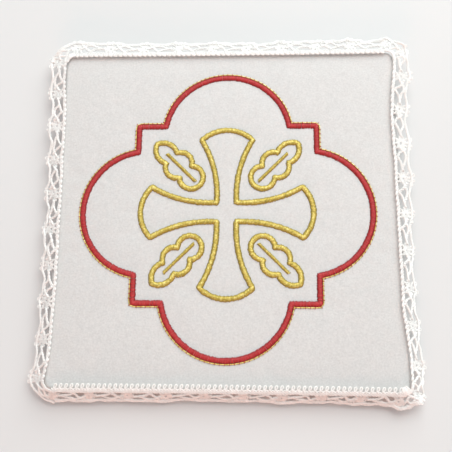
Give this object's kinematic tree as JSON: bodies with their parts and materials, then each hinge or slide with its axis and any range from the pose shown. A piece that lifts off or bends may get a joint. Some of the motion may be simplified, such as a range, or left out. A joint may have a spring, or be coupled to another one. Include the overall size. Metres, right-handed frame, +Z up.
{
  "type": "chalice pall",
  "caption": "Stiff square pad in white cloth that covers a chalice, edged with drooping cotton lace and embroidered with a red quatrefoil, a gold cross and gold leaves.",
  "frame": {"origin": "middle of the flat underside, on the surface it rests on", "axes": "+Z up out of the embroidered face, -Y towards the front edge, where the lace hangs lowest, +X to the right"},
  "size_m": [0.1775, 0.1768, 0.0091],
  "materials": {
    "white_cloth": "smooth white polyester and cotton cloth with a fine plain weave and a faint sheen",
    "white_cotton": "matte warm white cotton lace thread",
    "red_thread": "red satin stitch in lustrous embroidery thread",
    "gold_thread": "gold metallic embroidery thread in satin stitch"
  },
  "bodies": {
    "root": {"cover": "white_cloth", "lace_edging": "white_cotton", "red_quatrefoil": "red_thread", "gold_cross": "gold_thread", "gold_leaf_1": "gold_thread", "gold_leaf_2": "gold_thread", "gold_leaf_3": "gold_thread", "gold_leaf_4": "gold_thread"}
  },
  "joints": []
}
